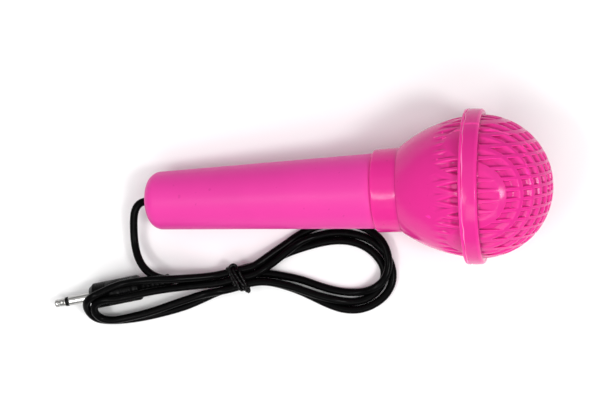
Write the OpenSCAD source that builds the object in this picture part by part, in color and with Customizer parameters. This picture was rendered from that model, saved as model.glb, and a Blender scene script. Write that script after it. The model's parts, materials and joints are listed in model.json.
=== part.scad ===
// Toy karaoke microphone lying on its flange and the rear end of its handle.
// +X points to the ball end, +Z up, origin under the middle of the microphone.

/* [Handle] */
// Length of the handle that shows behind the neck
handle_len = 84.5; // [70:0.5:100]
// Diameter of the handle at its rear end
handle_rear_d = 21; // [18:0.5:23]
// Diameter of the handle where it meets the neck
handle_front_d = 26.6; // [25:0.1:27]
// Radius of the rounded rear edge
handle_edge_r = 4.8; // [3:0.1:5.5]
// Wall thickness of the handle
handle_wall = 2; // [1.5:0.1:2.5]

/* [Rear bowl] */
// Diameter of the neck at the handle
neck_rear_d = 29.2; // [28.8:0.1:30]
// Diameter of the neck at the bowl
neck_front_d = 29.7; // [29:0.1:30.5]
// Length of the neck
neck_len = 9.5; // [9:0.5:12]
// Diameter at the crease between neck and bowl
crease_d = 30.7; // [30.5:0.1:31.5]
// Length of the bowl from the crease to the flange
bowl_len = 22.3; // [21:0.1:26]
// Diameter of the bowl at the flange
bowl_d = 48.6; // [46:0.1:50]
// Radius of the bowl's curve along the axis
bowl_arc_r = 49; // [35:1:70]
// Wall thickness of the bowl
bowl_wall = 2; // [1.5:0.1:2.2]

/* [Flange] */
// Diameter of the flange round the ball
flange_d = 54; // [52:0.5:58]
// Width of the whole flange
flange_len = 6.2; // [5:0.1:8]
// Width of the rear lip, which belongs to the bowl
lip_len = 1.1; // [1:0.1:1.5]
// Rounding of the flange's edges
flange_edge_r = 0.6; // [0.3:0.1:0.8]

/* [Dome] */
// Radius of the ball front
dome_r = 24.8; // [24:0.1:25.5]
// Height of the ball front beyond the flange
dome_len = 23.2; // [20:0.1:24]
// Distance between the ribs of the ball front
rib_pitch = 3.5; // [3:0.1:5]
// Width of a rib
rib_w = 1; // [0.8:0.1:1.6]
// Depth of the pits between the ribs
pit_depth = 1; // [0.4:0.1:1.2]
// Turn of the rib grid about the microphone's axis
grid_turn = 8; // [0:1:45]
// Diameter of the sound holes in the middle pits
sound_hole_d = 1.4; // [1:0.1:2]

/* [Cord and plug] */
// Diameter of the cord
cord_d = 2.9; // [2.5:0.1:3]
// Diameter of the plug's contacts
plug_pin_d = 3.5; // [3.5]
// Length of the plug's pin
plug_pin_len = 14; // [14:0.5:15]
// Diameter of the plug's moulded body
plug_body_d = 9.5; // [9:0.1:9.8]
// Length of the plug's moulded body
plug_body_len = 19.5; // [18:0.5:21]
// Diameter of the plug's strain relief
relief_d = 6; // [5.5:0.1:6.2]
// Length of the plug's strain relief
relief_len = 12; // [10:0.5:12.5]

/* [Hidden] */

$fn = 96;
cut = 0.01;
fit_gap = 0.1;

// Stations along the microphone's axis, measured from the rear face.
neck_end = handle_len + neck_len;
flange_start = neck_end + bowl_len;
seam_at = flange_start + lip_len;
flange_end = flange_start + flange_len;
tip_at = flange_end + dome_len;
dome_centre = tip_at - dome_r;

// The bowl's outside is one arc, and its inside follows it at the wall's distance.
function arc_centre(p, q, r) =
    let (chord = q - p, half = norm(chord) / 2,
        side = [chord[1], -chord[0]] / norm(chord))
    (p + q) / 2 - side * sqrt(r * r - half * half);
bowl_centre = arc_centre([crease_d / 2, neck_end], [bowl_d / 2, flange_start], bowl_arc_r);
bowl_inner_arc_r = bowl_arc_r - bowl_wall;
function bowl_inner_r(z) =
    bowl_centre[0] + sqrt(pow(bowl_inner_arc_r, 2) - pow(z - bowl_centre[1], 2));

// The handle's spigot sits in the neck's socket, up to a ledge.
spigot_r = handle_front_d / 2 - 0.7;
spigot_len = 7.5;
ledge_at = handle_len + spigot_len + 0.3;
ledge_len = 1.2;
seat_len = 2;

// The microphone lies on the round rear edge of the handle and on the flange's rim.
handle_slope = (handle_front_d - handle_rear_d) / 2 / handle_len;
edge_ring_r = handle_rear_d / 2 + handle_slope * handle_edge_r - handle_edge_r;
rest_run = flange_start + flange_edge_r - handle_edge_r;
rest_rise = flange_d / 2 - flange_edge_r - edge_ring_r;
tilt = atan2(rest_rise, rest_run)
    + asin((flange_edge_r - handle_edge_r) / norm([rest_run, rest_rise]));
rear_z = handle_edge_r + edge_ring_r * cos(tilt) - handle_edge_r * sin(tilt);
box_low = handle_edge_r * cos(tilt) - edge_ring_r * sin(tilt) - handle_edge_r;
box_high = dome_centre * cos(tilt) + dome_r;
rear_x = -(box_low + box_high) / 2;
rear_face = [rear_x, 0, rear_z];
axis_dir = [cos(tilt), 0, sin(tilt)];

// Plug, lying on the table: its tip and the heading of its axis.
plug_at = [-111, -37, plug_body_d / 2];
plug_turn = 9;
tip_len = 4.2;
insulator_len = 1.2;
pin_wall_end = 13.4;
pin_neck_r = 1.25;
rod_r = 0.5;
rod_sleeve_r = 0.85;
premould_r = 3;
premould_end = 26;
body_end = plug_pin_len + plug_body_len;
relief_end = body_end + relief_len;
plug_dir = [cos(plug_turn), sin(plug_turn), 0];

// Middle of the twist tie, and the heading of the six cords that run through it.
tie_at = [-41.3, -29.9];
tie_turn = 12;
tie_pitch = cord_d + 0.1;
tie_reach = 6.5;
tie_floor = 3;

// A point inside the tie: along its axis, across it and up, in cord pitches.
function in_tie(along, across, level) = [
    tie_at[0] + along * cos(tie_turn) - across * tie_pitch * sin(tie_turn),
    tie_at[1] + along * sin(tie_turn) + across * tie_pitch * cos(tie_turn),
    tie_floor + level * tie_pitch];

// Cord routes: points along the middle of the cord, in the microphone's frame.
// The cord leaves the rear face straight, and meets the plug's strain relief straight.
exit_len = 1.5;
lead_route = concat([rear_face, rear_face - exit_len * axis_dir],
    [[-75.6, -0.45, 9.2], [-77.7, -2.3, 8.6], [-78.9, -5.8, 7.8], [-79.4, -10.5, 6.7],
    [-79.4, -15, 6.1], [-78.6, -19.3, 6.6], [-76.9, -23, 7.8], [-74, -26.2, 8.9],
    [-69.5, -28.5, 9.4], [-63, -29.1, 8.2], [-56, -29, 5.5]],
    [in_tie(-tie_reach, 1, 0), in_tie(0, 1, 0)]);
plug_exit = plug_at + relief_end * plug_dir;
end_route = concat([plug_exit, plug_exit + exit_len * plug_dir],
    [[-60, -31.1, 3.7], [-54.5, -31.9, 2.8]],
    [in_tie(-tie_reach, 0, 0), in_tie(0, 0, 0)]);

// A row of the hank's outer shape where it runs through the tie.
function tie_row(along, across, level, w, h) = concat(in_tie(along, across, level), [w, h]);

// Outer shape of the tied hank: x, y, z, width and height along each lobe.
half_w = 1.5 * tie_pitch;
pair_h = 2 * cord_d;
right_lobe = concat([tie_row(0, 0.76, 0.5, half_w, pair_h),
    tie_row(tie_reach, 0.76, 0.5, half_w, pair_h)],
    [[-30, -24.3, 3, 6, 5.8], [-24, -20.8, 3, 6.6, 5.8], [-17, -17.2, 2.6, 7.4, 5],
    [-9, -15, 1.6, 9, 3.1], [-2.5, -14.5, 1.5, 9, 3], [4, -15.6, 1.5, 9, 3],
    [10, -18.8, 3, 7.6, 6], [13.4, -23.4, 3, 6, 6], [14.4, -28, 3, 5, 6],
    [13.7, -33, 3, 6.4, 6], [10.7, -37.6, 3, 8, 6], [5.3, -39.8, 2, 9.4, 4],
    [-0.5, -40.1, 1.7, 9.4, 3.3], [-6, -38.8, 2.4, 9, 4.6], [-12, -36.6, 2.8, 8.4, 5.5],
    [-20, -33.5, 3, 7.4, 5.9], [-28, -31.1, 3, 6, 5.9]],
    [tie_row(tie_reach, -0.76, 0.5, half_w, pair_h),
    tie_row(0, -0.76, 0.5, half_w, pair_h)]);
left_lobe = concat([tie_row(0, -1, 0.5, cord_d, pair_h),
    tie_row(-tie_reach, -1, 0.5, cord_d, pair_h)],
    [[-54, -35.9, 3, 3.6, 5.8], [-61.5, -38.2, 3, 4.6, 5.8], [-72, -41.2, 3, 4.4, 5.8],
    [-80, -42.9, 3, 4, 5.8], [-87, -43.7, 3, 3.6, 5.8], [-92.5, -43.6, 3.2, 3.6, 5],
    [-96.4, -42.6, 4.8, 4, 4.2], [-97.8, -40.3, 7.4, 3.6, 3.2],
    [-97.4, -37.8, 9.9, 3.4, 3], [-95.2, -35.6, 11.7, 4.4, 3],
    [-91.5, -34.2, 11.3, 6, 3], [-85.5, -32.8, 11.2, 7, 3], [-78.5, -31.6, 11.4, 7, 3],
    [-72, -30.8, 12.4, 6.6, 2.9], [-66, -30.4, 12.4, 6.4, 2.9],
    [-60, -30.2, 10.8, 6, 2.9], [-54, -30.3, 8.6, 5.8, 2.9]],
    [tie_row(-tie_reach, 0.5, 1, cord_d + tie_pitch, cord_d),
    tie_row(0, 0.5, 1, cord_d + tie_pitch, cord_d)]);

// Wires inside the handle, in the microphone's own axes: across, across, along.
cord_tail_len = 66;
wire_d = 1;
board_at = 99;
signal_route = [[0.7, 0, cord_tail_len], [0.9, 0.2, 70], [1.6, 0.6, 77],
    [1.2, 0.9, 85], [1.5, 0.4, 92], [1.5, 0, board_at - 0.6]];
ground_route = [[-0.7, 0, cord_tail_len], [-0.9, -0.2, 70], [-1.5, -0.7, 77],
    [-1.8, -0.3, 85], [-1.6, 0.2, 92], [-1.5, 0, board_at - 0.6]];

// Points of an arc about a centre, from one angle to another.
function arc(centre, r, from, to, steps) =
    [for (i = [0:steps]) let (a = from + (to - from) * i / steps)
        [centre[0] + r * cos(a), centre[1] + r * sin(a)]];

// One ring of a swept solid: an octagon w wide and h high across the heading.
function ring(at, heading, w, h) =
    let (side = [-heading[1], heading[0], 0] / norm([heading[0], heading[1]]),
        up = cross(heading / norm(heading), side),
        c = min(w, h) * (1 - 1 / sqrt(2)))
    [for (p = [[w / 2, h / 2 - c], [w / 2 - c, h / 2], [c - w / 2, h / 2],
        [-w / 2, h / 2 - c], [-w / 2, c - h / 2], [c - w / 2, -h / 2],
        [w / 2 - c, -h / 2], [w / 2, c - h / 2]]) at + side * p[0] + up * p[1]];

function heading_at(route, i) =
    route[min(i + 1, len(route) - 1)] - route[max(i - 1, 0)];

// Joins rings of eight points into one closed solid.
module skin(rings) {
    last = len(rings) - 1;
    polyhedron(
        points = [for (r = rings) for (p = r) p],
        faces = concat(
            [[for (k = [0:7]) k]],
            [[for (k = [7:-1:0]) last * 8 + k]],
            [for (i = [0:last - 1]) for (k = [0:7]) let (n = (k + 1) % 8)
                [i * 8 + k, (i + 1) * 8 + k, (i + 1) * 8 + n]],
            [for (i = [0:last - 1]) for (k = [0:7]) let (n = (k + 1) % 8)
                [i * 8 + k, (i + 1) * 8 + n, i * 8 + n]]));
}

// A round tube along a route.
module tube(route, d) {
    skin([for (i = [0:len(route) - 1]) ring(route[i], heading_at(route, i), d, d)]);
}

// A flat band along rows of position, width and height.
module band(rows) {
    route = [for (r = rows) [r[0], r[1], r[2]]];
    skin([for (i = [0:len(rows) - 1])
        ring(route[i], heading_at(route, i), rows[i][3], rows[i][4])]);
}

// Stands a part that is built along +Z on the microphone's lying axis.
module on_mic() {
    translate(rear_face) rotate([0, 90 - tilt, 0]) children();
}

// The same for a part of the plug, measured from the plug's tip.
module on_plug() {
    translate(plug_at) rotate([0, 0, plug_turn]) rotate([0, 90, 0]) children();
}

module pipe(r_out, r_in, z0, z1) {
    translate([0, 0, z0]) difference() {
        cylinder(r = r_out, h = z1 - z0);
        translate([0, 0, -cut]) cylinder(r = r_in, h = z1 - z0 + 2 * cut);
    }
}

module rod(r, z0, z1) {
    translate([0, 0, z0]) cylinder(r = r, h = z1 - z0);
}

module handle() {
    cord_hole_r = cord_d / 2 + fit_gap;
    inner_front_r = spigot_r - 1.6;
    inner_rear_r = edge_ring_r + handle_edge_r - handle_wall;
    inner_edge_r = handle_edge_r - handle_wall;
    outline = concat([[cord_hole_r, 0]],
        arc([edge_ring_r, handle_edge_r], handle_edge_r, -90, 0, 12),
        [[handle_front_d / 2, handle_len], [spigot_r, handle_len],
        [spigot_r, handle_len + spigot_len], [inner_front_r, handle_len + spigot_len],
        [inner_rear_r, handle_edge_r]],
        arc([inner_rear_r - inner_edge_r, handle_edge_r], inner_edge_r, 0, -90, 6),
        [[cord_hole_r, handle_wall]]);
    color("hotpink") on_mic() rotate_extrude() polygon(outline);
}

module rear_bowl() {
    edge_r = 0.8;
    socket_r = spigot_r + fit_gap;
    seat_r = socket_r + 0.4;
    seat_end = ledge_at + ledge_len + seat_len;
    c = bowl_centre;
    a_crease = atan2(neck_end - c[1], crease_d / 2 - c[0]);
    a_flange = atan2(flange_start - c[1], bowl_d / 2 - c[0]);
    a_seat = asin((seat_end + 0.6 - c[1]) / bowl_inner_arc_r);
    a_seam = asin((seam_at - fit_gap - c[1]) / bowl_inner_arc_r);
    outline = concat([[socket_r, handle_len + fit_gap]],
        arc([neck_rear_d / 2 - edge_r, handle_len + fit_gap + edge_r], edge_r, -90, 0, 6),
        [[neck_front_d / 2, neck_end - 0.3]],
        arc(c, bowl_arc_r, a_crease, a_flange, 16),
        arc([flange_d / 2 - flange_edge_r, flange_start + flange_edge_r],
            flange_edge_r, -90, 0, 6),
        [[flange_d / 2, seam_at - fit_gap / 2]],
        arc(c, bowl_inner_arc_r, a_seam, a_seat, 14),
        [[seat_r, seat_end], [seat_r, ledge_at + ledge_len],
        [socket_r - 1.5, ledge_at + ledge_len], [socket_r - 1.5, ledge_at],
        [socket_r, ledge_at]]);
    color("hotpink") on_mic() rotate_extrude() polygon(outline);
}

// Grid of ribs that runs along the axis, so that the moulding comes off its tool.
module rib_grid() {
    count = ceil(dome_r / rib_pitch);
    span = 2 * (dome_r + 1);
    for (i = [-count:count - 1], a = [0, 90])
        rotate([0, 0, grid_turn + a]) translate([(i + 0.5) * rib_pitch, 0, flange_end])
            translate([-rib_w / 2, -span / 2, -0.5]) cube([rib_w, span, dome_len + 2]);
}

// Holes through the pits round the middle.
module sound_holes() {
    reach = 3;
    for (i = [-reach:reach], j = [-reach:reach])
        if (norm([i, j]) < reach - 0.5)
            rotate([0, 0, grid_turn]) translate([i * rib_pitch, j * rib_pitch, flange_end])
                cylinder(d = sound_hole_d, h = dome_len + 1, $fn = 24);
}

module front_dome() {
    wall = 2.4;
    core_r = dome_r - pit_depth;
    inner_r = dome_r - wall;
    tongue_len = 2.4;
    tongue_r = bowl_inner_r(seam_at - tongue_len) - fit_gap;
    tongue_wall = 1.6;
    a_core = asin((flange_end - dome_centre) / core_r);
    outline = concat([[tongue_r - tongue_wall, seam_at - tongue_len],
        [tongue_r, seam_at - tongue_len], [tongue_r, seam_at],
        [flange_d / 2, seam_at]],
        arc([flange_d / 2 - flange_edge_r, flange_end - flange_edge_r],
            flange_edge_r, 0, 90, 6),
        arc([0, dome_centre], core_r, a_core, 90, 24),
        arc([0, dome_centre], inner_r, 90, 0, 24));
    color("hotpink") on_mic() difference() {
        union() {
            rotate_extrude() polygon(outline);
            intersection() {
                rotate_extrude() polygon(concat([[0, flange_end - cut]],
                    arc([0, dome_centre], dome_r, a_core, 90, 24)));
                difference() {
                    rib_grid();
                    translate([0, 0, dome_centre]) sphere(r = core_r - 0.3);
                }
            }
        }
        sound_holes();
    }
}

module capsule_carrier() {
    plate_at = ledge_at + ledge_len;
    color("white") on_mic() difference() {
        union() {
            rod(spigot_r + 0.3, plate_at, plate_at + seat_len);
            rod(8, plate_at, plate_at + 12);
        }
        rod(3, plate_at - 1, plate_at + 3);
        rod(6.2, plate_at + seat_len, plate_at + 13);
    }
}

module capsule_boot() {
    color("dimgray") on_mic() difference() {
        rod(6.1, board_at - 1.5, board_at + 7);
        rod(4.95, board_at - cut, board_at + 8);
        rod(3.4, board_at - 2, board_at + 1);
    }
}

module capsule_can() {
    color("silver") on_mic() difference() {
        rod(4.85, board_at, board_at + 6.5);
        rod(4.55, board_at - 1, board_at + 6.1);
        rod(1, board_at + 6, board_at + 7);
    }
}

module capsule_felt() {
    color("black") on_mic() rod(4.5, board_at + 6.55, board_at + 6.95);
}

module capsule_membrane() {
    color("gold") on_mic() union() {
        rod(4, board_at + 5.2, board_at + 5.3);
        pipe(4.5, 4, board_at + 5, board_at + 6);
    }
}

module capsule_backplate() {
    color("gray") on_mic() difference() {
        rod(4.5, board_at + 3.4, board_at + 4.9);
        for (i = [0:3]) rotate([0, 0, 90 * i])
            translate([2.2, 0, 0]) rod(0.4, board_at + 3, board_at + 5);
    }
}

module capsule_board() {
    color("green") on_mic() rod(4.5, board_at + 0.2, board_at + 1);
}

module solder_joints() {
    color("silver") on_mic() for (side = [-1, 1])
        translate([side * 1.5, 0, board_at - 0.6])
            cylinder(r1 = 0.6, r2 = 0.95, h = 0.8, $fn = 32);
}

module signal_wire() {
    color("white") on_mic() tube(signal_route, wire_d);
}

module ground_wire() {
    color("goldenrod") on_mic() tube(ground_route, wire_d);
}

module cord_inside_handle() {
    color("black") on_mic() rod(cord_d / 2, 0, cord_tail_len);
}

module internal_cable_tie() {
    strap_len = 2.5;
    head_w = 4;
    color("white") on_mic() difference() {
        union() {
            rod(cord_d / 2 + 1.1, handle_wall + 0.3, handle_wall + 0.3 + strap_len);
            translate([-head_w / 2, cord_d / 2, handle_wall + 0.3])
                cube([head_w, 3.6, strap_len + 0.8]);
        }
        rod(cord_d / 2, 0, handle_wall + 5);
    }
}

module cord_lead() {
    color("black") tube(lead_route, cord_d);
}

module cord_hank_right() {
    color("black") band(right_lobe);
}

module cord_hank_left() {
    color("black") band(left_lobe);
}

module cord_end() {
    color("black") tube(end_route, cord_d);
}

module rounded_box(w, h, r) {
    hull() for (x = [-1, 1], y = [-1, 1])
        translate([x * (w / 2 - r), y * (h / 2 - r)]) circle(r = r, $fn = 32);
}

module twist_tie() {
    inner_w = 3 * tie_pitch + 0.2;
    inner_h = 2 * tie_pitch + 0.2;
    wire = 1.4;
    wrap_pitch = wire - 0.1;
    turns = 3;
    nub_len = 3;
    middle = tie_floor + tie_pitch / 2;
    color("black") translate([tie_at[0], tie_at[1], middle]) rotate([0, 0, tie_turn]) union() {
        rotate([90, 0, 90])
            for (i = [0:turns - 1])
                translate([0, 0, (i - turns / 2) * wrap_pitch])
                    linear_extrude(wire) difference() {
                        rounded_box(inner_w + 2 * wire, inner_h + 2 * wire, 2.6);
                        rounded_box(inner_w, inner_h, 0.9);
                    }
        translate([2.2, -inner_w / 2 - wire / 2, 1]) rotate([70, 0, 20])
            cylinder(d = 2 * wire, h = nub_len, $fn = 24);
    }
}

module plug_overmould() {
    edge_r = 1.3;
    ring_pitch = 1.8;
    ring_len = 1;
    ring_depth = 0.4;
    core_r = relief_d / 2 - ring_depth;
    ring_count = floor((relief_len - 1) / ring_pitch);
    color("#1c1c1e") on_plug() difference() {
        union() {
            rotate_extrude() polygon(concat([[0, plug_pin_len]],
                arc([plug_body_d / 2 - edge_r, plug_pin_len + edge_r], edge_r, -90, 0, 6),
                arc([plug_body_d / 2 - edge_r, body_end - edge_r], edge_r, 0, 90, 6),
                [[core_r, body_end], [core_r, relief_end], [0, relief_end]]));
            for (i = [0:ring_count - 1])
                rod(relief_d / 2, body_end + 0.6 + i * ring_pitch,
                    body_end + 0.6 + i * ring_pitch + ring_len);
        }
        rod(pin_neck_r, plug_pin_len - 1, plug_pin_len + 2);
        rod(premould_r, plug_pin_len + 1, premould_end);
        rod(cord_d / 2, premould_end - 1, relief_end + 1);
    }
}

module plug_lug_shapes() {
    for (side = [-1, 1])
        translate([side * 1.6 - 0.3, -1.2, plug_pin_len + 2])
            cube([0.6, 2.4, 6]);
}

module plug_premould() {
    color("ivory") on_plug() difference() {
        rod(premould_r, plug_pin_len + 2, premould_end);
        plug_lug_shapes();
        rod(rod_sleeve_r, plug_pin_len, plug_pin_len + 3);
    }
}

module cord_inside_plug() {
    color("black") on_plug() rod(cord_d / 2, premould_end, relief_end);
}

module plug_lugs() {
    color("goldenrod") on_plug() plug_lug_shapes();
}

module plug_sleeve() {
    color("silver") on_plug() difference() {
        union() {
            rod(plug_pin_d / 2, tip_len + insulator_len, pin_wall_end);
            rod(pin_neck_r, pin_wall_end - cut, plug_pin_len + 1 + cut);
            rod(premould_r, plug_pin_len + 1, plug_pin_len + 2);
        }
        rod(rod_sleeve_r, tip_len, plug_pin_len + 3);
    }
}

module plug_insulator() {
    color("black") on_plug() difference() {
        union() {
            rod(plug_pin_d / 2, tip_len, tip_len + insulator_len);
            rod(rod_sleeve_r, tip_len, plug_pin_len + 3);
        }
        rod(rod_r, tip_len - 1, plug_pin_len + 4);
    }
}

module plug_tip() {
    waist_r = 1.2;
    waist_at = 3;
    nose_r = 0.6;
    color("silver") on_plug() union() {
        rotate_extrude() polygon([[0, 0], [nose_r, 0], [plug_pin_d / 2 - 0.1, 1.1],
            [plug_pin_d / 2, 1.6], [waist_r, waist_at], [plug_pin_d / 2, tip_len],
            [0, tip_len]]);
        rod(rod_r, tip_len - cut, plug_pin_len + 3);
    }
}

handle();
rear_bowl();
front_dome();
capsule_carrier();
capsule_boot();
capsule_can();
capsule_felt();
capsule_membrane();
capsule_backplate();
capsule_board();
solder_joints();
signal_wire();
ground_wire();
cord_inside_handle();
internal_cable_tie();
cord_lead();
cord_hank_right();
cord_hank_left();
cord_end();
twist_tie();
plug_overmould();
plug_premould();
cord_inside_plug();
plug_lugs();
plug_sleeve();
plug_insulator();
plug_tip();
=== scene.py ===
import json
import math

import bpy
import numpy as np
from mathutils import Matrix, Vector


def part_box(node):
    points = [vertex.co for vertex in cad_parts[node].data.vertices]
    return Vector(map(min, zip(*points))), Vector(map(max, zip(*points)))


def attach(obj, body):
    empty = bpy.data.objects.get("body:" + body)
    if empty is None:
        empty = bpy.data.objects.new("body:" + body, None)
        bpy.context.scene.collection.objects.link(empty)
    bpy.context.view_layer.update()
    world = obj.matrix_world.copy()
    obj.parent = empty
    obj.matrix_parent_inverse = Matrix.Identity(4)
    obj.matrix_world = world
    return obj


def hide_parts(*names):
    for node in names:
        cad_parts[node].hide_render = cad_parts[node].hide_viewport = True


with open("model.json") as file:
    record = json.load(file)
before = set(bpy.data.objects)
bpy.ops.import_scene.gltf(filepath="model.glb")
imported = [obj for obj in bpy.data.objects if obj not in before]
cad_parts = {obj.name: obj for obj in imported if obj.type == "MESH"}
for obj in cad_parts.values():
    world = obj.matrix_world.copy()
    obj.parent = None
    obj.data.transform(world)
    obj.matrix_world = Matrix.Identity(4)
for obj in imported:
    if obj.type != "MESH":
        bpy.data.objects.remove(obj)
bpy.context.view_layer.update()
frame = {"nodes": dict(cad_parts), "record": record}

# The looks of a toy microphone: two-part pink head, pink handle, and a black cord, folded
# through a twist tie, that ends in a jack plug.

MM = 0.001
BODY = "root"

# ---------------------------------------------------------------------------
# Sizes of the shells, the cord and the plug, in millimetres.

HANDLE_LEN = 84.5
HANDLE_REAR_D = 21.0
HANDLE_FRONT_D = 26.6
HANDLE_EDGE_R = 4.8
NECK_REAR_D = 29.2
NECK_FRONT_D = 29.7
NECK_LEN = 9.5
CREASE_D = 30.7
BOWL_LEN = 22.3
BOWL_D = 48.6
BOWL_ARC_R = 49.0
FLANGE_D = 54.0
FLANGE_LEN = 6.2
LIP_LEN = 1.1
DOME_R = 24.8
DOME_LEN = 23.2
RIB_PITCH = 3.5
RIB_W = 0.9
PIT_DEPTH = 1.0
DOME_TURN = math.radians(8)
BOWL_TURN = math.radians(-39)
BOWL_RIB_PITCH = 3.4
WALL = 2.0
CORD_D = 2.9
PLUG_PIN_D = 3.5
PLUG_BODY_D = 9.5
PLUG_PIN_LEN = 14.0
PLUG_BODY_LEN = 19.5
RELIEF_D = 6.0
RELIEF_LEN = 12.0

NECK_END = HANDLE_LEN + NECK_LEN
FLANGE_START = NECK_END + BOWL_LEN
FLANGE_END = FLANGE_START + FLANGE_LEN
TIP_AT = FLANGE_END + DOME_LEN
DOME_CENTRE = TIP_AT - DOME_R
HEAD_LEAN = math.radians(1.9)
PIN_MOUNT_FROM_TIP = 8.8

# ---------------------------------------------------------------------------
# Places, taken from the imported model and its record.

mounts = {m["name"]: m for m in frame["record"]["mounts"]}


def unit(v):
    """A vector's direction, with length one."""
    v = np.array(v, float)
    return v / np.linalg.norm(v)


mic_axis = unit(mounts["handle_grip"]["axis"])
mic_down = np.array([mic_axis[2], 0.0, -mic_axis[0]])
mic_left = np.array([0.0, 1.0, 0.0])
dome_high = np.array(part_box("front_dome")[1]) / MM
grip = np.array(mounts["handle_grip"]["pos_m"]) / MM
dome_x = dome_high[0] - DOME_R
rear_face = grip + mic_axis * ((dome_x - grip[0]) / mic_axis[0] - DOME_CENTRE)

plug_back = -unit(mounts["jack_pin"]["axis"])
plug_side = np.array([-plug_back[1], plug_back[0], 0.0])
plug_up = np.array([0.0, 0.0, 1.0])
pin_at = np.array(mounts["jack_pin"]["pos_m"]) / MM
plug_tip_at = pin_at - plug_back * PIN_MOUNT_FROM_TIP
plug_exit = plug_tip_at + plug_back * (PLUG_PIN_LEN + PLUG_BODY_LEN + RELIEF_LEN)


def on_mic(local):
    """Millimetres in the microphone's own axes (down, left, along) to metres."""
    local = np.asarray(local, float)
    return (rear_face + local[..., :1] * mic_down + local[..., 1:2] * mic_left
            + local[..., 2:3] * mic_axis) * MM


def on_head(local):
    """The same for the head, which is bonded on a little askew, turned by a lean at the lip."""
    local = np.array(local, float)
    lean = HEAD_LEAN * np.clip((local[..., 2] - NECK_END - 1) / (BOWL_LEN - 2), 0, 1)
    y, z = local[..., 1].copy(), local[..., 2] - DOME_CENTRE
    local[..., 1] = y * np.cos(lean) - z * np.sin(lean)
    local[..., 2] = DOME_CENTRE + y * np.sin(lean) + z * np.cos(lean)
    return on_mic(local)


def on_plug(local):
    """Millimetres in the plug's own axes (side, up, from the tip back) to metres."""
    local = np.asarray(local, float)
    return (plug_tip_at + local[..., :1] * plug_side + local[..., 1:2] * plug_up
            + local[..., 2:3] * plug_back) * MM


# ---------------------------------------------------------------------------
# Camera.

def add_camera():
    """The camera stands above the middle of the object and looks almost straight down."""
    place = Vector((0.0306, -0.0037, 0.4685))
    aim = Vector((-0.01775, -0.00565, 0.0))
    up = Vector((0.0418, 0.9991, -0.0086))
    back = (place - aim).normalized()
    right = up.cross(back).normalized()
    data = bpy.data.cameras.new("camera")
    data.sensor_width = 36.0
    data.lens = 76.0
    data.clip_start = 0.01
    camera = bpy.data.objects.new("camera", data)
    turn = Matrix((right, back.cross(right), back)).transposed()
    camera.matrix_world = Matrix.Translation(place) @ turn.to_4x4()
    bpy.context.scene.collection.objects.link(camera)
    bpy.context.scene.camera = camera


add_camera()

# ---------------------------------------------------------------------------
# Mesh helpers.

def new_piece(name, verts, faces, material, nodes=()):
    """A smooth mesh object that rides the body, stands for CAD nodes and has one slot."""
    mesh = bpy.data.meshes.new(name)
    mesh.from_pydata([tuple(v) for v in verts], [], faces)
    mesh.polygons.foreach_set("use_smooth", [True] * len(mesh.polygons))
    mesh.update()
    piece = bpy.data.objects.new(name, mesh)
    bpy.context.scene.collection.objects.link(piece)
    mesh.materials.append(material)
    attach(piece, BODY)
    if nodes:
        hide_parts(*nodes)
    return piece


def circle(r, z, count):
    """Points on a circle about the axis."""
    turn = np.arange(count) * 2 * math.pi / count
    return np.stack([r * np.cos(turn), r * np.sin(turn), np.full(count, float(z))], 1)


def lathe(profile, count):
    """One circle for each (radius, height) of a profile."""
    return [circle(r, z, count) for r, z in profile]


def join_rings(a, na, b, nb):
    """Faces between two rings, of which one may have twice the points or be one point."""
    faces = []
    if na == nb:
        for k in range(na):
            n = (k + 1) % na
            faces.append((a + k, a + n, b + n, b + k))
    elif nb == 1:
        faces = [(a + k, a + (k + 1) % na, b) for k in range(na)]
    elif na == 1:
        faces = [(a, b + (k + 1) % nb, b + k) for k in range(nb)]
    elif na == 2 * nb:
        for k in range(nb):
            n, m = (k + 1) % nb, (2 * k + 2) % na
            faces += [(a + 2 * k, a + 2 * k + 1, b + k), (a + 2 * k + 1, a + m, b + n),
                      (a + 2 * k + 1, b + n, b + k)]
    else:
        for k in range(na):
            n, m = (k + 1) % na, (2 * k + 2) % nb
            faces += [(a + k, a + n, b + 2 * k + 1), (a + k, b + 2 * k + 1, b + 2 * k),
                      (a + n, b + m, b + 2 * k + 1)]
    return faces


def stack(rings, closed=False):
    """Vertices and faces of a list of rings, each an array of points."""
    starts = np.concatenate([[0], np.cumsum([len(r) for r in rings])])
    faces = []
    for i in range(len(rings) - (0 if closed else 1)):
        j = (i + 1) % len(rings)
        faces += join_rings(int(starts[i]), len(rings[i]), int(starts[j]), len(rings[j]))
    return np.concatenate(rings), faces


def arc(centre, r, start, end, steps):
    """Points of an arc in a profile, by angles in degrees."""
    angles = np.radians(np.linspace(start, end, steps + 1))
    return [(centre[0] + r * math.cos(a), centre[1] + r * math.sin(a)) for a in angles]


def natural_spline(points, step):
    """Points about one step apart on the natural cubic spline through the given ones."""
    p = np.array(points, float)
    t = np.concatenate([[0], np.cumsum(np.linalg.norm(np.diff(p, axis=0), axis=1))])
    h = np.diff(t)
    n = len(p)
    system = np.zeros((n, n))
    rhs = np.zeros((n, 3))
    system[0, 0] = system[-1, -1] = 1
    for i in range(1, n - 1):
        system[i, i - 1:i + 2] = h[i - 1], 2 * (h[i - 1] + h[i]), h[i]
        rhs[i] = 6 * ((p[i + 1] - p[i]) / h[i] - (p[i] - p[i - 1]) / h[i - 1])
    curve = np.linalg.solve(system, rhs)
    out = []
    for i in range(n - 1):
        for s in np.arange(0, 1, 1 / max(2, round(h[i] / step))):
            a, b = (1 - s) * h[i], s * h[i]
            out.append((curve[i] * a ** 3 + curve[i + 1] * b ** 3) / (6 * h[i])
                       + (p[i] / h[i] - curve[i] * h[i] / 6) * a
                       + (p[i + 1] / h[i] - curve[i + 1] * h[i] / 6) * b)
    out.append(p[-1])
    return np.array(out)


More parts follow.
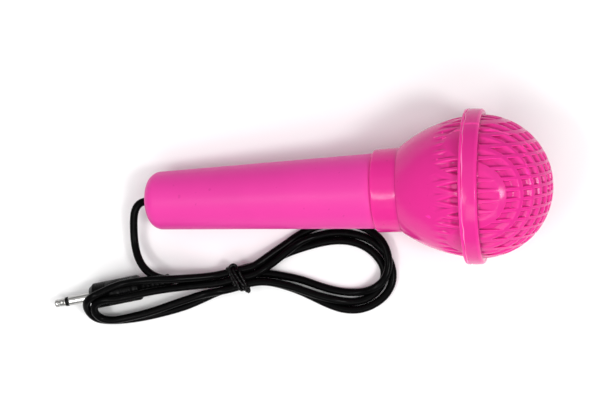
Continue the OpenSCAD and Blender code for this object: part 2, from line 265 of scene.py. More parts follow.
def path_frames(line, first_side):
    """Two side directions at each point of a line, carried along without twist."""
    ahead = np.gradient(line, axis=0)
    ahead /= np.linalg.norm(ahead, axis=1)[:, None]
    side = np.array(first_side, float)
    sides = []
    for d in ahead:
        side = side - d * (side @ d)
        side /= np.linalg.norm(side)
        sides.append(side)
    sides = np.array(sides)
    return sides, np.cross(ahead, sides)


def tube_mesh(line, radius, sides):
    """Vertices and faces of a round tube along a line, with closed ends."""
    across, over = path_frames(line, (0.0, 0.0, 1.0))
    turn = np.arange(sides) * 2 * math.pi / sides
    radius = np.broadcast_to(radius, len(line))[:, None, None]
    verts, faces = stack(line[:, None] + radius * (
        np.cos(turn)[:, None] * across[:, None] + np.sin(turn)[:, None] * over[:, None]))
    last = (len(line) - 1) * sides
    faces.append(tuple(range(sides))[::-1])
    faces.append(tuple(last + k for k in range(sides)))
    return verts, faces


# ---------------------------------------------------------------------------
# Cord route in millimetres. LEAD and END are the part's own points. For the hank's passes
# between them the part has two closed bands.

TIE_AT = np.array([-41.3, -29.9])
TIE_TURN = math.radians(12)
TIE_PITCH = CORD_D + 0.1
TIE_REACH = 6.5
TIE_FLOOR = 3.0
EXIT_LEN = 1.5


def in_tie(along, across, level):
    """A point inside the tie: millimetres along its axis, then cord pitches across and up."""
    c, s = math.cos(TIE_TURN), math.sin(TIE_TURN)
    side = across * TIE_PITCH
    return (TIE_AT[0] + along * c - side * s, TIE_AT[1] + along * s + side * c,
            TIE_FLOOR + level * TIE_PITCH)


def through_tie(across, level, way=1):
    """The points of one pass through the tie, towards +X if way is 1."""
    return [in_tie(way * along, across, level) for along in (-TIE_REACH, 0, TIE_REACH)]


LEAD = [(-75.6, -0.45, 9.2), (-77.7, -2.3, 8.6), (-78.9, -5.8, 7.8), (-79.4, -10.5, 6.7),
        (-79.4, -15, 6.1), (-78.6, -19.3, 6.6), (-76.9, -23, 7.8), (-74, -26.2, 8.9),
        (-69.5, -28.5, 9.4), (-63, -29.1, 8.2), (-56, -29, 5.5)]
INNER_RIGHT = [(-31, -24.7, 1.9), (-24.5, -22.1, 1.5), (-16.5, -19.5, 1.5),
               (-9, -17.9, 1.5), (-2.5, -17.6, 1.5), (3.5, -19, 1.5), (8.2, -21.9, 1.5),
               (11.2, -25.5, 1.5), (12.6, -29.5, 1.5), (11.8, -33.5, 1.5),
               (9.3, -37, 1.5), (5.3, -39.5, 1.5), (0, -40.3, 1.6), (-6, -39.2, 3.1),
               (-12.5, -37.2, 4.1), (-20, -34.3, 4.5), (-27.5, -32.2, 4.7)]
INNER_LEFT = [(-54, -35.3, 4.7), (-61, -37.1, 4.5), (-67, -38.9, 4.5), (-74, -41, 4.5),
              (-80, -42.4, 4.5), (-85.5, -43.4, 4.4), (-90.1, -43.8, 4.5),
              (-93.8, -42.7, 5.4), (-95.4, -39.9, 7.7), (-94, -37.1, 9.8),
              (-90.8, -35.9, 10.7), (-85, -35.4, 10.7), (-79, -34.3, 10.7),
              (-73.5, -33.4, 9.7), (-67.5, -32.7, 8.5), (-61, -32.2, 7.3),
              (-54.5, -31.8, 6)]
OUTER_RIGHT = [(-30.3, -26.1, 4.9), (-24.3, -21.9, 4.5), (-18, -17.6, 3.7),
               (-12, -15.6, 1.9), (-5, -14.6, 1.5), (2, -15.4, 1.5), (8.3, -18, 1.5),
               (12.8, -22.3, 1.5), (15.3, -27.5, 1.5), (15.5, -32.8, 1.5),
               (13.2, -37.6, 1.5), (8.8, -41.2, 1.5), (2.8, -43.2, 1.5),
               (-4, -42.6, 1.5), (-11.3, -39.5, 1.5), (-19, -35.6, 1.5),
               (-27, -32.7, 1.7)]
OUTER_LEFT = [(-54, -36.7, 1.6), (-61.5, -39.6, 1.5), (-70, -41.8, 1.5),
              (-78, -43.3, 1.5), (-85.5, -44.1, 1.5), (-91.8, -44.1, 1.6),
              (-96, -43, 3.2), (-98, -40.2, 6), (-98, -37.3, 8.8),
              (-95.7, -34.8, 11.1), (-92, -33.1, 11.4), (-88, -31.4, 11.2),
              (-83, -30, 11.2), (-77, -29.2, 12), (-71, -28.9, 12.4),
              (-65, -28.9, 12.2), (-59.5, -28.9, 10.2), (-54, -28.8, 7.9)]
TOP_RIGHT = [(-30, -22.3, 4.5), (-24, -18.5, 2.9), (-17.5, -14.4, 1.6),
             (-10, -11.7, 1.5), (-3, -11.4, 1.5), (4, -12.4, 1.7), (9.2, -15.1, 3),
             (12.7, -19, 4.3), (14.3, -23.7, 4.6), (14.2, -28.3, 4.6),
             (12.4, -32.4, 4.6), (9, -35.2, 4), (4.2, -36.7, 2.4), (-2, -36.6, 1.5),
             (-10, -34.6, 1.5), (-18, -31.6, 1.5), (-26.5, -29.5, 1.7)]
END = [(-54.5, -31.9, 2.8), (-60, -31.1, 3.7)]


def cord_route():
    """Every point from the handle's hole to the plug, with six passes through the tie."""
    start = [tuple(rear_face), tuple(rear_face - EXIT_LEN * mic_axis)]
    finish = [tuple(plug_exit + EXIT_LEN * plug_back), tuple(plug_exit)]
    return (start + LEAD + through_tie(1, 0)
            + INNER_RIGHT + through_tie(-1, 1, -1)
            + INNER_LEFT + through_tie(0, 1)
            + OUTER_RIGHT + through_tie(-1, 0, -1)
            + OUTER_LEFT + through_tie(1, 1)
            + TOP_RIGHT + through_tie(0, 0, -1)
            + END + finish)


# ---------------------------------------------------------------------------
# Materials.

def shader(name, color, roughness, **values):
    """A Principled material, its tree and its shader, with constants on its sockets."""
    material = bpy.data.materials.new(name)
    material.use_nodes = True
    tree = material.node_tree
    principled = tree.nodes["Principled BSDF"]
    principled.inputs["Base Color"].default_value = (*color, 1.0)
    principled.inputs["Roughness"].default_value = roughness
    for key, value in values.items():
        principled.inputs[key.replace("_", " ")].default_value = value
    return material, tree, principled


def noise(tree, scale, detail=3.0, stretch=(1, 1, 1)):
    """A noise texture in the object's own axes, with its scale in waves to the metre."""
    place = tree.nodes.new("ShaderNodeTexCoord")
    mapping = tree.nodes.new("ShaderNodeMapping")
    mapping.inputs["Scale"].default_value = stretch
    texture = tree.nodes.new("ShaderNodeTexNoise")
    texture.inputs["Scale"].default_value = scale
    texture.inputs["Detail"].default_value = detail
    tree.links.new(place.outputs["Object"], mapping.inputs["Vector"])
    tree.links.new(mapping.outputs["Vector"], texture.inputs["Vector"])
    return texture.outputs["Fac"]


def spread(tree, value, low, high, start=0.3, end=0.7):
    """Maps a noise value to a range."""
    node = tree.nodes.new("ShaderNodeMapRange")
    node.inputs["From Min"].default_value = start
    node.inputs["From Max"].default_value = end
    node.inputs["To Min"].default_value = low
    node.inputs["To Max"].default_value = high
    tree.links.new(value, node.inputs["Value"])
    return node.outputs["Result"]


def ramp(tree, value, *stops):
    """A colour ramp over a value, as (position, colour) stops."""
    node = tree.nodes.new("ShaderNodeValToRGB")
    elements = node.color_ramp.elements
    while len(elements) < len(stops):
        elements.new(0.5)
    for element, (position, color) in zip(elements, stops):
        element.position = position
        element.color = (*color, 1.0)
    tree.links.new(value, node.inputs["Fac"])
    return node.outputs["Color"]


def bump(tree, principled, *layers):
    """Chains bumps of (height output, distance in metres, strength) onto a shader."""
    normal = None
    for height, distance, strength in layers:
        node = tree.nodes.new("ShaderNodeBump")
        node.inputs["Distance"].default_value = distance
        node.inputs["Strength"].default_value = strength
        tree.links.new(height, node.inputs["Height"])
        if normal is not None:
            tree.links.new(normal, node.inputs["Normal"])
        normal = node.outputs["Normal"]
    tree.links.new(normal, principled.inputs["Normal"])


def shade(color, factor):
    """A colour made darker or lighter."""
    return tuple(c * factor for c in color)


def textured(name, color, roughness, grain=600.0, depth=0.00002, vary=0.06, rough_vary=0.08,
             **values):
    """A material whose colour, roughness and surface vary a little, as a moulding's do."""
    material, tree, principled = shader(name, color, roughness, **values)
    clouds = noise(tree, grain / 20, 4.0)
    fine = noise(tree, grain, 3.0)
    tone = ramp(tree, clouds, (0.3, shade(color, 1 - vary)), (0.7, shade(color, 1 + vary)))
    tree.links.new(tone, principled.inputs["Base Color"])
    tree.links.new(spread(tree, fine, roughness - rough_vary, roughness + rough_vary),
                   principled.inputs["Roughness"])
    bump(tree, principled, (fine, depth, 0.5))
    return material


MIX_A, MIX_B, MIX_OUT = 6, 7, 2


def pink_plastic(name, color, roughness, gloss, ripple, edge_light_paint):
    """Moulded pink plastic: faint flow clouds, a fine skin and tiny specks. Painted light makes
    outer edges paler (painted highlight) and inner corners darker (painted shade)."""
    material, tree, principled = shader(name, color, roughness, IOR=1.49,
                                        Specular_IOR_Level=gloss)
    clouds = noise(tree, 28.0, 3.0)
    grain = noise(tree, 1500.0, 2.0)
    waves = noise(tree, 90.0, 1.0)
    specks = noise(tree, 520.0, 1.0)
    base = ramp(tree, clouds, (0.35, shade(color, 0.965)), (0.65, shade(color, 1.03)))
    speck = ramp(tree, specks, (0.0, (1, 1, 1)), (0.235, (0.72, 0.6, 0.66)), (0.25, (1, 1, 1)))
    mix = tree.nodes.new("ShaderNodeMix")
    mix.data_type = "RGBA"
    mix.blend_type = "MULTIPLY"
    mix.inputs["Factor"].default_value = 0.5
    tree.links.new(base, mix.inputs[MIX_A])
    tree.links.new(speck, mix.inputs[MIX_B])
    # Painted light: by pointiness, convex and rib edges get a painted highlight, hollow corners of
    # the pits get painted shade.
    edges = tree.nodes.new("ShaderNodeNewGeometry")
    painted_edge_light_shade = spread(tree, edges.outputs["Pointiness"], 1 - edge_light_paint, 1 + edge_light_paint, 0.44, 0.56)
    tone = tree.nodes.new("ShaderNodeVectorMath")
    tone.operation = "SCALE"
    tree.links.new(mix.outputs[MIX_OUT], tone.inputs[0])
    tree.links.new(painted_edge_light_shade, tone.inputs["Scale"])
    tree.links.new(tone.outputs[0], principled.inputs["Base Color"])
    tree.links.new(spread(tree, grain, roughness - 0.05, roughness + 0.07),
                   principled.inputs["Roughness"])
    bump(tree, principled, (waves, 0.0004, ripple), (grain, 0.00001, 0.35))
    return material


# The last argument sets the strength of the painted edge highlight and corner shade.
handle_pink = pink_plastic("handle_pink", (0.73, 0.044, 0.325), roughness=0.38, gloss=0.18,
                           ripple=0.05, edge_light_paint=0.1)
head_pink = pink_plastic("head_pink", (0.69, 0.021, 0.25), roughness=0.17, gloss=0.24,
                         ripple=0.09, edge_light_paint=0.45)
flash_pink = pink_plastic("flash_pink", (0.9, 0.2, 0.5), roughness=0.2, gloss=0.3,
                          ripple=0.1, edge_light_paint=0.05)


def cord_material():
    """Satin black PVC with a soft skin, faint dust and slightly duller stretches."""
    color = (0.0015, 0.0015, 0.0016)
    material, tree, principled = shader("cord_black", color, 0.17, Specular_IOR_Level=0.04)
    patches = noise(tree, 60.0, 3.0)
    skin = noise(tree, 2200.0, 2.0)
    dust = noise(tree, 900.0, 2.0)
    tree.links.new(ramp(tree, dust, (0.62, color), (0.8, (0.006, 0.006, 0.0057))),
                   principled.inputs["Base Color"])
    tree.links.new(spread(tree, patches, 0.13, 0.22), principled.inputs["Roughness"])
    bump(tree, principled, (skin, 0.000012, 0.5))
    return material


def metal_material(name, color, roughness):
    """Turned and plated metal: fine rings round the pin and a few rubbed patches."""
    material, tree, principled = shader(name, color, roughness, Metallic=1.0)
    rings = noise(tree, 2600.0, 1.0, (1.0, 0.12, 0.12))
    rubbed = noise(tree, 400.0, 3.0)
    tree.links.new(ramp(tree, rubbed, (0.3, shade(color, 0.94)), (0.7, color)),
                   principled.inputs["Base Color"])
    tree.links.new(spread(tree, rubbed, roughness * 0.85, roughness * 1.15),
                   principled.inputs["Roughness"])
    bump(tree, principled, (rings, 0.000006, 0.4))
    return material


cord_black = cord_material()
plug_black = textured("plug_black", (0.002, 0.002, 0.0023), 0.34, grain=1400.0, vary=0.2,
                      rough_vary=0.1, Specular_IOR_Level=0.1)
tie_black = textured("tie_black", (0.0012, 0.0012, 0.0012), 0.07, grain=900.0, depth=0.0002,
                     vary=0.2, rough_vary=0.03, Specular_IOR_Level=0.13)
insulator_black = textured("insulator_black", (0.002, 0.002, 0.002), 0.35, grain=900.0,
                           depth=0.00001, vary=0.2, Specular_IOR_Level=0.1)
plug_metal = metal_material("plug_metal", (0.5, 0.495, 0.48), 0.16)

# ---------------------------------------------------------------------------
# The square grid of pits that both halves of the head share.

def smooth(x):
    """A smooth step from 0 to 1."""
    x = np.clip(x, 0, 1)
    return x * x * (3 - 2 * x)


def pits(points, pitch, turn, phase, rib, draft):
    """How far down into the pits of a square grid each point is: 0 on a rib, 1 on a floor."""
    c, s = math.cos(turn), math.sin(turn)
    x, y = points[:, 0], points[:, 1]
    deep = np.ones(len(points))
    for along in (x * c + y * s, y * c - x * s):
        from_rib = np.abs((along / pitch + phase + 0.5) % 1 - 0.5) * pitch
        deep = np.minimum(deep, (from_rib - rib / 2) / draft)
    return smooth(deep)


# ---------------------------------------------------------------------------
# Handle.

HOLE_R = CORD_D / 2 + 0.1
SPIGOT_R = HANDLE_FRONT_D / 2 - 0.7
SPIGOT_END = HANDLE_LEN + 7.5


def make_handle():
    """A closed shell: the hole with a faint ring round it, the taper, the spigot, the inside."""
    slope = (HANDLE_FRONT_D - HANDLE_REAR_D) / 2 / HANDLE_LEN
    edge = HANDLE_REAR_D / 2 + slope * HANDLE_EDGE_R - HANDLE_EDGE_R
    inner_rear = edge + HANDLE_EDGE_R - WALL
    inner_front = SPIGOT_R - 1.6
    profile = [(HOLE_R, WALL), (HOLE_R, 0.5), (HOLE_R + 0.12, 0.2), (HOLE_R + 0.4, 0.0),
               (3.4, 0.0), (3.55, 0.12), (3.8, 0.12), (3.95, 0.0)]
    profile += arc((edge, HANDLE_EDGE_R), HANDLE_EDGE_R, -90, 0, 20)
    tail = np.linspace(HANDLE_EDGE_R, HANDLE_LEN - 0.35, 40)[1:]
    profile += [(edge + HANDLE_EDGE_R + slope * (z - HANDLE_EDGE_R), z) for z in tail]
    front = HANDLE_FRONT_D / 2
    profile += [(front - 0.1, HANDLE_LEN - 0.08), (front - 0.35, HANDLE_LEN),
                (SPIGOT_R, HANDLE_LEN), (SPIGOT_R, SPIGOT_END), (inner_front, SPIGOT_END),
                (inner_rear, HANDLE_EDGE_R), (inner_rear - 1.4, WALL + 0.6),
                (inner_rear - 2.8, WALL)]
    verts, faces = stack(lathe(profile, count=192), closed=True)
    new_piece("handle_shell", on_mic(verts), faces, handle_pink, ["handle"])


# ---------------------------------------------------------------------------
# Rear bowl with its neck and lip.

def arc_centre(p, q, r):
    """The centre of an arc of radius r through two points of a profile."""
    p, q = np.array(p), np.array(q)
    chord = q - p
    half = np.linalg.norm(chord) / 2
    side = np.array([chord[1], -chord[0]]) / np.linalg.norm(chord)
    return (p + q) / 2 - side * math.sqrt(r * r - half * half)


BOWL_CENTRE = arc_centre((CREASE_D / 2, NECK_END), (BOWL_D / 2, FLANGE_START), BOWL_ARC_R)


def bowl_r(z, wall=0.0):
    """The bowl's radius at a height, outside or a wall's thickness further in."""
    return BOWL_CENTRE[0] + np.sqrt((BOWL_ARC_R - wall) ** 2 - (z - BOWL_CENTRE[1]) ** 2)


SEAM_AT = FLANGE_START + LIP_LEN
RIM_R = FLANGE_D / 2 - 0.15
RING_POINTS = 720
FLUTE_START = 106.0
FLUTE_DEEP = 113.2
FLUTE_DEPTH = 0.75
LIP_PIT_DEPTH = 0.5
BOWL_RIB_W = 0.7
BOWL_DRAFT = 0.75


def flute_rings():
    """The bowl's outside, with the grid's pits sunk in it near the lip."""
    rings = []
    for z in np.arange(NECK_END + 0.6, FLUTE_START, 0.7):
        rings.append(circle(bowl_r(z), z, RING_POINTS // 2))
    for z in np.append(np.arange(FLUTE_START, FLANGE_START - 0.3, 0.25), FLANGE_START - 0.25):
        ring = circle(bowl_r(z), z, RING_POINTS)
        depth = (FLUTE_DEPTH * smooth((z - FLUTE_START) / (FLUTE_DEEP - FLUTE_START))
                 + LIP_PIT_DEPTH * smooth((z - FLUTE_DEEP + 0.8) / 1.6))
        deep = pits(ring, BOWL_RIB_PITCH, BOWL_TURN, 0.0, BOWL_RIB_W, BOWL_DRAFT)
        ring[:, :2] *= (1 - deep * depth / bowl_r(z))[:, None]
        rings.append(ring)
    return rings


def make_bowl():
    """A closed shell, from the inside at the seam round the neck's socket to the lip."""
    socket_r = SPIGOT_R + 0.1
    ledge_at = SPIGOT_END + 0.3
    seat_end = ledge_at + 3.2
    inner = [(bowl_r(z, WALL), z) for z in np.linspace(SEAM_AT - 0.1, seat_end + 0.6, 22)]
    inner += [(socket_r + 0.4, seat_end), (socket_r + 0.4, ledge_at + 1.2),
              (socket_r - 1.5, ledge_at + 1.2), (socket_r - 1.5, ledge_at),
              (socket_r, ledge_at)]
    rings = lathe(inner, RING_POINTS // 8)
    rings += lathe([(socket_r, HANDLE_LEN + 1.0)], RING_POINTS // 4)
    neck_start = HANDLE_LEN + 0.1
    neck_edge = 0.8
    neck = [(socket_r, neck_start)]
    neck += arc((NECK_REAR_D / 2 - neck_edge, neck_start + neck_edge), neck_edge, -90, 0, 8)
    neck += [(NECK_REAR_D / 2 + (NECK_FRONT_D - NECK_REAR_D) / 2 * t,
              HANDLE_LEN + 1 + t * (NECK_LEN - 1.6)) for t in np.linspace(0.1, 1, 8)]
    neck += [(NECK_FRONT_D / 2 + 0.02, NECK_END - 0.42), (NECK_FRONT_D / 2 + 0.12, NECK_END - 0.3),
             (CREASE_D / 2 - 0.12, NECK_END - 0.1), (CREASE_D / 2 - 0.02, NECK_END),
             (CREASE_D / 2 + 0.13, NECK_END + 0.2)]
    rings += lathe(neck, RING_POINTS // 2)
    rings += flute_rings()
    lip_edge = 0.5
    lip = [(BOWL_D / 2 - 0.1, FLANGE_START), (BOWL_D / 2 + 0.5, FLANGE_START)]
    lip += arc((RIM_R - lip_edge, FLANGE_START + lip_edge), lip_edge, -90, 0, 5)
    lip += [(RIM_R, SEAM_AT - 0.18), (RIM_R - 0.16, SEAM_AT - 0.04)]
    rings += lathe(lip, RING_POINTS)
    rings += lathe([(RIM_R - 1.0, SEAM_AT - 0.04)], RING_POINTS // 2)
    rings += lathe([(RIM_R - 2.2, SEAM_AT - 0.06)], RING_POINTS // 4)
    verts, faces = stack(rings, closed=True)
    new_piece("bowl_shell", on_head(verts), faces, head_pink, ["rear_bowl"])


# ---------------------------------------------------------------------------
# Ball front with its flange band.

DOME_WALL = 2.4
INNER_DOME_R = DOME_R - DOME_WALL
CORE_R = DOME_R - PIT_DEPTH
PIT_DRAFT = 0.42
SOUND_HOLE_R = 0.7
SOUND_HOLE_REACH = 2.5
HOLE_SKIN = 0.15


def ball_z(ball_r, r):
    """Height of a ball about the front's centre, at a distance r from the axis."""
    return DOME_CENTRE + math.sqrt(max(ball_r ** 2 - r * r, 0))


def dome_heights(ring, r):
    """Height of the ball front over each point of a ring of radius r."""
    top = ball_z(DOME_R, r)
    floor = max(ball_z(CORE_R, r), FLANGE_END)
    deep = pits(ring, RIB_PITCH, DOME_TURN, 0.5, RIB_W, PIT_DRAFT)
    high = top + deep * (floor - top)
    c, s = math.cos(DOME_TURN), math.sin(DOME_TURN)
    x = (ring[:, 0] * c + ring[:, 1] * s) / RIB_PITCH
    y = (ring[:, 1] * c - ring[:, 0] * s) / RIB_PITCH
    off = np.hypot(x - np.round(x), y - np.round(y)) * RIB_PITCH
    near = np.hypot(np.round(x), np.round(y)) < SOUND_HOLE_REACH
    hole = smooth((SOUND_HOLE_R + 0.06 - off) / 0.12) * near
    return high - hole * (floor - ball_z(INNER_DOME_R, r) - HOLE_SKIN)


def dome_ring_points(r):
    """Fewer points on the smaller rings, by halves."""
    if r > 11:
        return RING_POINTS
    if r > 5.5:
        return RING_POINTS // 2
    if r > 2.5:
        return RING_POINTS // 4
    return RING_POINTS // 8


def dome_rings():
    """The ball front's outside, with extra rings where the pits' floors curve."""
    start = math.asin((FLANGE_END - DOME_CENTRE) / DOME_R)
    outer = DOME_R * np.cos(np.linspace(start, math.pi / 2, 158)[:-1])
    core = CORE_R * np.cos(np.radians(np.linspace(2, 34, 44)))
    radii = np.sort(np.concatenate([outer, core]))[::-1]
    rings = []
    for r in radii:
        ring = circle(r, 0, dome_ring_points(r))
        ring[:, 2] = dome_heights(ring, r)
        rings.append(ring)
    rings.append(np.array([[0.0, 0.0, dome_heights(np.zeros((1, 3)), 0.0)[0]]]))
    return rings


def make_dome():
    """A closed shell: the inside, the tongue that fits in the bowl, the band and the ball."""
    tongue_len = 2.4
    tongue_r = float(bowl_r(SEAM_AT - tongue_len, WALL)) - 0.1
    inner = [(INNER_DOME_R * math.sin(a), DOME_CENTRE + INNER_DOME_R * math.cos(a))
             for a in np.linspace(0, math.pi / 2, 26)[1:]]
    rings = [np.array([[0.0, 0.0, DOME_CENTRE + INNER_DOME_R]])]
    inner.append((tongue_r - 1.6, SEAM_AT - tongue_len))
    rings += lathe(inner, RING_POINTS // 8)
    rings += lathe([(tongue_r, SEAM_AT - tongue_len)], RING_POINTS // 4)
    rings += lathe([(tongue_r, SEAM_AT + 0.04)], RING_POINTS // 2)
    edge = 0.9
    band = [(RIM_R - 0.2, SEAM_AT + 0.04), (RIM_R - 0.04, SEAM_AT + 0.14),
            (RIM_R, SEAM_AT + 0.35)]
    side_len = FLANGE_LEN - LIP_LEN - edge - 0.35
    band += [(RIM_R + 0.08 * math.sin(math.pi * t), SEAM_AT + 0.35 + t * side_len)
             for t in np.linspace(0.1, 1, 9)]
    band += arc((RIM_R - edge, FLANGE_END - edge), edge, 0, 90, 6)[1:]
    band += [(RIM_R - 1.2, FLANGE_END), (DOME_R + 0.35, FLANGE_END), (DOME_R + 0.05, FLANGE_END)]
    rings += lathe(band, RING_POINTS)
    rings += dome_rings()
    verts, faces = stack(rings)
    new_piece("dome_shell", on_head(verts), faces, head_pink, ["front_dome"])


def make_flash():
    """The thin uneven skin of plastic squeezed out along the seam of the two halves."""
    count = 540
    turn = np.arange(count) * 2 * math.pi / count
    rng = np.random.default_rng(7)
    wave, swell = np.zeros(count), np.zeros(count)
    for k in range(2, 34):
        wave += rng.normal() / k ** 0.7 * np.cos(k * turn + rng.uniform(0, 6.3))
        swell += rng.normal() / k ** 0.6 * np.cos(k * turn + rng.uniform(0, 6.3))
    wave *= 0.1 / wave.std()
    swell = 0.16 + np.clip(0.07 * swell / swell.std(), -0.1, 0.16)
    outer = RIM_R + 0.02 + 0.4 * swell
    rings = []
    for dr, dz in ((-0.5, -0.4), (0, -1), (1, -0.4), (1, 0.4), (0, 1), (-0.5, 0.4)):
        r = np.where(dr > 0, outer, RIM_R - 0.05 + 0.02 * dr)
        z = SEAM_AT + 0.12 + wave + dz * swell
        rings.append(np.stack([r * np.cos(turn), r * np.sin(turn), z], 1))
    verts, faces = stack(rings, closed=True)
    new_piece("seam_flash", on_head(verts), faces, flash_pink)


# ---------------------------------------------------------------------------
# Plug.

TIP_LEN = 4.2
RING_LEN = 1.2
BODY_END = PLUG_PIN_LEN + PLUG_BODY_LEN
RELIEF_END = BODY_END + RELIEF_LEN


GROOVES = 6
GROOVE_PITCH = 0.75
GROOVE_DEPTH = 0.22
BEADS = 6
BEAD_PITCH = (RELIEF_LEN - 1.2) / BEADS
BEAD_TAPER = 0.03


def round_part(name, profile, material, node, count=64):
    """A round part of the plug, closed at both ends of its profile."""
    rings = lathe(profile, count)
    rings = [rings[0][:1]] + rings[1:-1] + [rings[-1][:1]]
    verts, faces = stack(rings)
    return new_piece(name, on_plug(verts), faces, material, [node])


def grooves(r, start):
    """A band of fine grooves round the grip, as points of its profile."""
    points = []
    for i in range(GROOVES):
        z = start + i * GROOVE_PITCH
        points += [(r, z), (r - GROOVE_DEPTH, z + 0.12), (r - GROOVE_DEPTH, z + 0.3),
                   (r, z + 0.42)]
    return points


def beads():
    """The strain relief's beads, each a little thinner than the last, as profile points."""
    points = []
    for i in range(BEADS):
        r = RELIEF_D / 2 - BEAD_TAPER * i
        z = BODY_END + 0.5 + i * BEAD_PITCH
        points += [(r - 0.75, z), (r - 0.7, z + 0.25), (r - 0.15, z + 0.4), (r, z + 0.6),
                   (r, z + BEAD_PITCH - 0.55), (r - 0.15, z + BEAD_PITCH - 0.35),
                   (r - 0.7, z + BEAD_PITCH - 0.2)]
    return points


def make_plug_body():
    """Moulded grip with two bands of fine rings, and a strain relief of round beads."""
    r = PLUG_BODY_D / 2
    profile = [(0.0, PLUG_PIN_LEN), (1.9, PLUG_PIN_LEN), (2.1, PLUG_PIN_LEN + 0.12),
               (3.3, PLUG_PIN_LEN + 0.16)]
    profile += arc((3.4, PLUG_PIN_LEN + 0.36), 0.2, -90, -50, 3)
    profile += [(r - 0.3, PLUG_PIN_LEN + 1.5)]
    profile += arc((r - 0.5, PLUG_PIN_LEN + 1.9), 0.5, -30, 0, 3)
    profile += grooves(r, PLUG_PIN_LEN + 2.6)
    profile += grooves(r, BODY_END - 7.4)
    profile += [(r, BODY_END - 1.9)]
    profile += arc((r - 1.3, BODY_END - 1.3), 1.3, 0, 80, 6)
    profile += beads()
    profile += [(1.9, RELIEF_END - 0.25), (1.75, RELIEF_END - 0.05), (0.0, RELIEF_END - 0.05)]
    return round_part("plug_body", profile, plug_black, "plug_overmould", 96)


def make_pin():
    """The pin's tip with its shallow waist, the insulator ring and the sleeve."""
    r = PLUG_PIN_D / 2
    e = 0.08
    tip = [(0, 0.0), (0.9, 0.02), (1.2, 0.08), (1.38, 0.22), (1.46, 0.45), (1.48, 0.8),
           (1.48, 1.25), (1.42, 1.42), (1.28, 1.52), (1.22, 1.62), (1.26, 1.74), (1.4, 1.84),
           (1.48, 2.0), (1.5, 2.6), (1.54, 3.2), (1.62, 3.6), (r - 0.02, 3.9), (r, 4.08),
           (r - 0.05, TIP_LEN - 0.02), (0, TIP_LEN - 0.02)]
    ring_end = TIP_LEN + RING_LEN
    ring = [(0, TIP_LEN), (r - e, TIP_LEN), (r - 0.02, TIP_LEN + e),
            (r - 0.02, ring_end - e), (r - e, ring_end), (0, ring_end)]
    end = PLUG_PIN_LEN + 0.4
    sleeve = [(0, ring_end + 0.02), (r - e, ring_end + 0.02), (r, ring_end + e)]
    sleeve += [(r, z) for z in np.linspace(ring_end + 0.4, end - 0.2, 12)]
    sleeve += [(r, end), (0, end)]
    return [round_part("pin_tip", tip, plug_metal, "plug_tip"),
            round_part("pin_ring", ring, insulator_black, "plug_insulator"),
            round_part("pin_sleeve", sleeve, plug_metal, "plug_sleeve")]


# ---------------------------------------------------------------------------
# Twist tie.

TIE_WIRE_D = 1.2
TIE_WRAPS = 3
TIE_TILT = math.tan(math.radians(16))
TIE_PRESS = 0.6
TIE_STEP = 0.35
LUMP_PITCH = 1.5
LUMP_DEPTH = 0.11
TWIST_R = 0.55
TWIST_WIRE_R = 0.56
TWIST_TURN = 3.2 * math.pi


def tie_point(along, across, up):
    """Millimetres inside the tie (along, across, above the bundle's middle) to the frame."""
    c, s = math.cos(TIE_TURN), math.sin(TIE_TURN)
    middle = TIE_FLOOR + TIE_PITCH / 2
    along, across, up = np.broadcast_arrays(along, across, up)
    return np.stack([TIE_AT[0] + along * c - across * s, TIE_AT[1] + along * s + across * c,
                     middle + up], -1)


def rounded(wave):
    """Flattens a sine, so that a circle becomes a rounded square."""
    return np.sign(wave) * np.abs(wave) ** 0.5


def wrap_line():
    """The wire's middle round the bundle, three strands wide and two high, a little uneven."""
    turn = np.linspace(-0.3, TIE_WRAPS * 2 * math.pi + 0.5, TIE_WRAPS * 90)
    half_w = 1.5 * TIE_PITCH + TIE_WIRE_D / 2 - TIE_PRESS
    half_h = TIE_PITCH + TIE_WIRE_D / 2 - 0.08
    across = half_w * rounded(np.sin(turn))
    up = half_h * rounded(np.cos(turn))
    pitch = TIE_WIRE_D + 0.02
    along = pitch * (turn / (2 * math.pi) - TIE_WRAPS / 2) - across * TIE_TILT
    along += 0.3 * np.sin(turn * 1.7 + 0.6) + 0.14 * np.sin(turn * 4.3)
    return tie_point(along, across, np.clip(up, -half_h + 0.02, half_h))


def make_tie():
    """Three wraps, a loop that stands off them, and the two ends twisted together."""
    wraps = natural_spline(wrap_line()[::3], TIE_STEP)
    lumps = np.sin(np.arange(len(wraps)) * TIE_STEP * 2 * math.pi / LUMP_PITCH)
    meshes = [tube_mesh(wraps, TIE_WIRE_D / 2 * (1 + LUMP_DEPTH * lumps), sides=14)]
    loop = [tie_point(-2.3, 2.8, 3.4), tie_point(-2.0, 4.0, 3.1), tie_point(-1.3, 5.0, 2.8),
            tie_point(-0.3, 5.3, 2.6), tie_point(0.5, 4.8, 2.4), tie_point(0.8, 3.9, 2.7),
            tie_point(0.5, 2.8, 3.5)]
    meshes.append(tube_mesh(natural_spline(loop, step=0.3), TIE_WIRE_D / 2, sides=12))
    spine = natural_spline([tie_point(1.8, -3.0, 3.4), tie_point(2.2, -4.0, 2.9),
                            tie_point(2.5, -4.8, 2.0), tie_point(2.7, -5.3, 1.0)], step=0.15)
    across, over = path_frames(spine, (0.0, 0.0, 1.0))
    turn = np.linspace(0, TWIST_TURN, len(spine))
    for phase in (0, math.pi):
        strand = spine + TWIST_R * (np.cos(turn + phase)[:, None] * across
                                   + np.sin(turn + phase)[:, None] * over)
        meshes.append(tube_mesh(strand, TWIST_WIRE_R, sides=12))
    verts = np.concatenate([points for points, quads in meshes])
    faces = []
    start = 0
    for points, quads in meshes:
        faces += [tuple(start + i for i in quad) for quad in quads]
        start += len(points)
    return new_piece("twist_wire", verts * MM, faces, tie_black, ["twist_tie"])


# ---------------------------------------------------------------------------
# Cord.

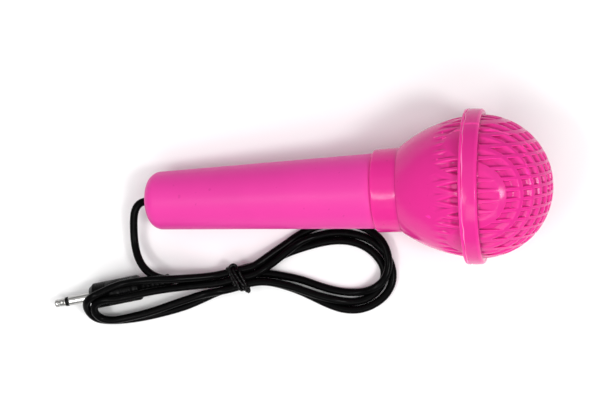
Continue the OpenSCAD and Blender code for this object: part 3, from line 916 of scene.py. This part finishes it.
def make_cord(with_pieces):
    """One tube along the route, kept on or above the table."""
    line = natural_spline(cord_route(), step=1.0)
    line[:, 2] = np.maximum(line[:, 2], CORD_D / 2)
    verts, faces = tube_mesh(line, CORD_D / 2, sides=20)
    cord = new_piece("cord", verts * MM, faces, cord_black,
                     ["cord_lead", "cord_hank_right", "cord_hank_left", "cord_end"])


make_cord([make_plug_body(), *make_pin(), make_tie()])
make_handle()
make_bowl()
make_dome()
make_flash()

# ---------------------------------------------------------------------------
# Pieces inside the shells keep their CAD shapes.

INSIDE = {
    "capsule_carrier": textured("carrier_white", (0.8, 0.8, 0.76), 0.45),
    "capsule_boot": textured("boot_rubber", (0.03, 0.03, 0.03), 0.7),
    "capsule_can": textured("can_metal", (0.72, 0.73, 0.74), 0.28, Metallic=1.0),
    "capsule_felt": textured("felt_black", (0.02, 0.02, 0.02), 0.85, grain=3000.0,
                             depth=0.0001, rough_vary=0.1, Sheen_Weight=0.5),
    "capsule_membrane": textured("membrane_gold", (0.75, 0.6, 0.28), 0.2, Metallic=1.0),
    "capsule_backplate": textured("steel_inside", (0.55, 0.55, 0.57), 0.35, Metallic=1.0),
    "capsule_board": textured("board_green", (0.03, 0.22, 0.08), 0.4),
    "solder_joints": textured("solder", (0.66, 0.67, 0.68), 0.3, Metallic=1.0),
    "signal_wire": textured("wire_white", (0.8, 0.8, 0.8), 0.4),
    "ground_wire": textured("wire_copper", (0.72, 0.4, 0.22), 0.35, Metallic=1.0),
    "cord_inside_handle": cord_black,
    "internal_cable_tie": textured("cable_tie_white", (0.8, 0.8, 0.77), 0.4),
    "plug_premould": textured("premould_ivory", (0.75, 0.7, 0.58), 0.5),
    "cord_inside_plug": cord_black,
    "plug_lugs": textured("lug_brass", (0.75, 0.55, 0.28), 0.3, Metallic=1.0),
}
for node_name, material in INSIDE.items():
    mesh = frame["nodes"][node_name].data
    mesh.materials.clear()
    mesh.materials.append(material)

# ---------------------------------------------------------------------------
# Floor and light.

def add_floor():
    """A plain white table, three metres each way."""
    size = 3.0
    mesh = bpy.data.meshes.new("floor")
    mesh.from_pydata([(-size, -size, 0), (size, -size, 0), (size, size, 0),
                      (-size, size, 0)], [], [(0, 1, 2, 3)])
    floor = bpy.data.objects.new("floor", mesh)
    bpy.context.scene.collection.objects.link(floor)
    mesh.materials.append(shader("floor_white", (0.93, 0.93, 0.93), 0.8)[0])


def add_area(name, place, aim, size, power):
    """A rectangular lamp at a place, turned to a point."""
    data = bpy.data.lights.new(name, "AREA")
    data.shape = "RECTANGLE"
    data.size, data.size_y = size
    data.energy = power
    light = bpy.data.objects.new(name, data)
    direction = Vector(aim) - Vector(place)
    light.location = place
    light.rotation_euler = direction.to_track_quat("-Z", "Y").to_euler()
    bpy.context.scene.collection.objects.link(light)


def add_world(strength):
    """Even white light from all round."""
    world = bpy.data.worlds.new("studio")
    world.use_nodes = True
    background = world.node_tree.nodes["Background"]
    background.inputs["Color"].default_value = (1, 1, 1, 1)
    background.inputs["Strength"].default_value = strength
    bpy.context.scene.world = world


add_floor()
add_world(0.44)
add_area("ceiling", (0, 0, 1.7), (0, 0, 0), (2.6, 2.6), 10)
add_area("key", (0.5, -0.2, 0.88), (0.02, 0, 0.02), (0.2, 0.2), 3.3)
add_area("strip", (-0.42, -0.2, 0.9), (-0.05, 0, 0), (0.4, 0.12), 2.2)
add_area("window", (0.05, -0.75, 0.95), (0.05, 0, 0), (0.8, 0.5), 3.6)
bpy.context.scene.view_settings.view_transform = "Standard"
